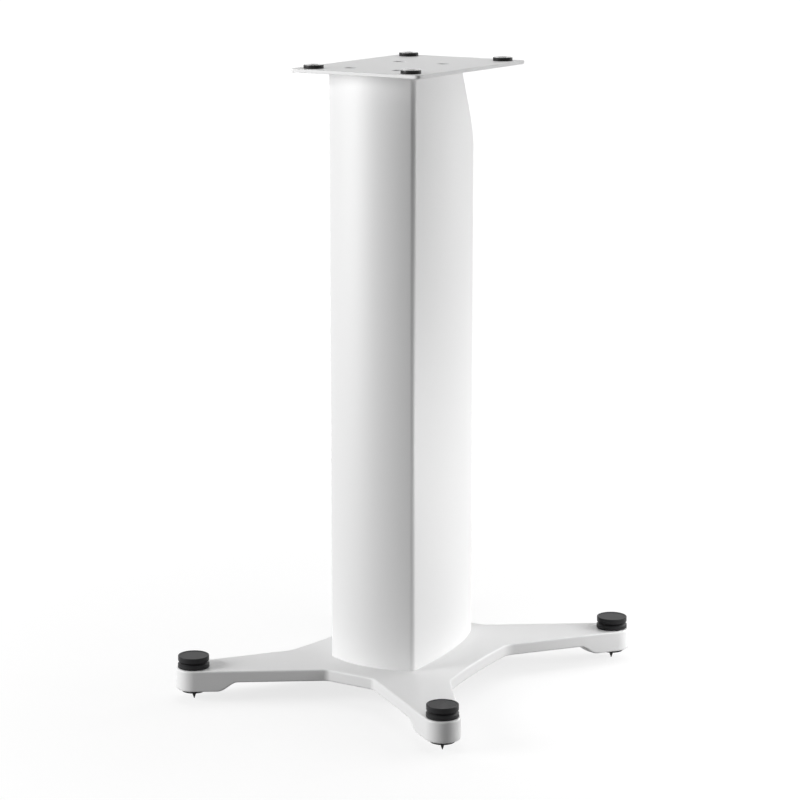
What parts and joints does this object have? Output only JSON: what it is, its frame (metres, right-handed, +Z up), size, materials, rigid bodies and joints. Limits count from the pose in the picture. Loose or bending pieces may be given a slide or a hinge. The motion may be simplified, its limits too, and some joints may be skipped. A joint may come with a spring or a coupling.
{
  "type": "speaker stand",
  "caption": "Floor stand for a bookshelf speaker: cast cross base with adjustable spikes, hollow column with a cable way, and a padded top plate.",
  "frame": {"origin": "on the floor, in the middle of the four spike tips", "axes": "+Z up, -Y towards the front of the stand (the column's arched face), +X to the right seen from the front"},
  "size_m": [0.325, 0.3768, 0.6292],
  "materials": {
    "white_paint": "satin white powder coat",
    "steel": "zinc plated",
    "black_steel": "blackened",
    "black_anodised": "black anodised, turned",
    "pad_plastic": "moulded, fine grain",
    "pad_gel": "soft, glossy, grey",
    "foot_rubber": "matte"
  },
  "bodies": {
    "stand": {"base_casting": "white_paint", "column": "white_paint", "top_plate": "white_paint", "plate_screw_front_left": "steel", "plate_screw_front_right": "steel", "plate_screw_rear_left": "steel", "plate_screw_rear_right": "steel", "base_bolt_front_left": "steel", "base_bolt_front_right": "steel", "base_bolt_rear_left": "steel", "base_bolt_rear_right": "steel", "base_washer_front_left": "steel", "base_washer_front_right": "steel", "base_washer_rear_left": "steel", "base_washer_rear_right": "steel", "pad_cup_front_left": "pad_plastic", "pad_cup_front_right": "pad_plastic", "pad_cup_rear_left": "pad_plastic", "pad_cup_rear_right": "pad_plastic", "pad_dome_front_left": "pad_gel", "pad_dome_front_right": "pad_gel", "pad_dome_rear_left": "pad_gel", "pad_dome_rear_right": "pad_gel", "foot_bush_front_left": "steel", "foot_bush_front_right": "steel", "foot_bush_rear_left": "steel", "foot_bush_rear_right": "steel", "foot_ring_front_left": "foot_rubber", "foot_ring_front_right": "foot_rubber", "foot_ring_rear_left": "foot_rubber", "foot_ring_rear_right": "foot_rubber"},
    "front_left_spike": {"spike_front_left": "black_steel"},
    "front_left_knob": {"adjuster_knob_front_left": "black_anodised"},
    "front_left_lock_ring": {"lock_ring_front_left": "black_anodised"},
    "front_right_spike": {"spike_front_right": "black_steel"},
    "front_right_knob": {"adjuster_knob_front_right": "black_anodised"},
    "front_right_lock_ring": {"lock_ring_front_right": "black_anodised"},
    "rear_left_spike": {"spike_rear_left": "black_steel"},
    "rear_left_knob": {"adjuster_knob_rear_left": "black_anodised"},
    "rear_left_lock_ring": {"lock_ring_rear_left": "black_anodised"},
    "rear_right_spike": {"spike_rear_right": "black_steel"},
    "rear_right_knob": {"adjuster_knob_rear_right": "black_anodised"},
    "rear_right_lock_ring": {"lock_ring_rear_right": "black_anodised"}
  },
  "joints": [
    {"name": "front_left_spike_rise", "type": "slide", "parent": "stand", "child": "front_left_spike", "axis": [0, 0, 1], "range_m": [0, 0.008]},
    {"name": "front_left_knob_turn", "type": "hinge", "parent": "front_left_spike", "child": "front_left_knob", "pos_m": [-0.145, -0.171, 0.0385], "axis": [0, 0, 1], "range_deg": [0, 2304.5]},
    {"name": "front_left_lock_ring_turn", "type": "hinge", "parent": "stand", "child": "front_left_lock_ring", "pos_m": [-0.145, -0.171, 0.033], "axis": [0, 0, 1], "range_deg": [0, 72]},
    {"name": "front_right_spike_rise", "type": "slide", "parent": "stand", "child": "front_right_spike", "axis": [0, 0, 1], "range_m": [0, 0.008]},
    {"name": "front_right_knob_turn", "type": "hinge", "parent": "front_right_spike", "child": "front_right_knob", "pos_m": [0.145, -0.171, 0.0385], "axis": [0, 0, 1], "range_deg": [0, 2304.5]},
    {"name": "front_right_lock_ring_turn", "type": "hinge", "parent": "stand", "child": "front_right_lock_ring", "pos_m": [0.145, -0.171, 0.033], "axis": [0, 0, 1], "range_deg": [0, 72]},
    {"name": "rear_left_spike_rise", "type": "slide", "parent": "stand", "child": "rear_left_spike", "axis": [0, 0, 1], "range_m": [0, 0.008]},
    {"name": "rear_left_knob_turn", "type": "hinge", "parent": "rear_left_spike", "child": "rear_left_knob", "pos_m": [-0.145, 0.171, 0.0385], "axis": [0, 0, 1], "range_deg": [0, 2304.5]},
    {"name": "rear_left_lock_ring_turn", "type": "hinge", "parent": "stand", "child": "rear_left_lock_ring", "pos_m": [-0.145, 0.171, 0.033], "axis": [0, 0, 1], "range_deg": [0, 72]},
    {"name": "rear_right_spike_rise", "type": "slide", "parent": "stand", "child": "rear_right_spike", "axis": [0, 0, 1], "range_m": [0, 0.008]},
    {"name": "rear_right_knob_turn", "type": "hinge", "parent": "rear_right_spike", "child": "rear_right_knob", "pos_m": [0.145, 0.171, 0.0385], "axis": [0, 0, 1], "range_deg": [0, 2304.5]},
    {"name": "rear_right_lock_ring_turn", "type": "hinge", "parent": "stand", "child": "rear_right_lock_ring", "pos_m": [0.145, 0.171, 0.033], "axis": [0, 0, 1], "range_deg": [0, 72]}
  ],
  "couplings": [
    {"joint": "front_left_knob_turn", "follows": "front_left_spike_rise", "rad_per_m": 5026.5},
    {"joint": "front_right_knob_turn", "follows": "front_right_spike_rise", "rad_per_m": 5026.5},
    {"joint": "rear_left_knob_turn", "follows": "rear_left_spike_rise", "rad_per_m": 5026.5},
    {"joint": "rear_right_knob_turn", "follows": "rear_right_spike_rise", "rad_per_m": 5026.5}
  ]
}
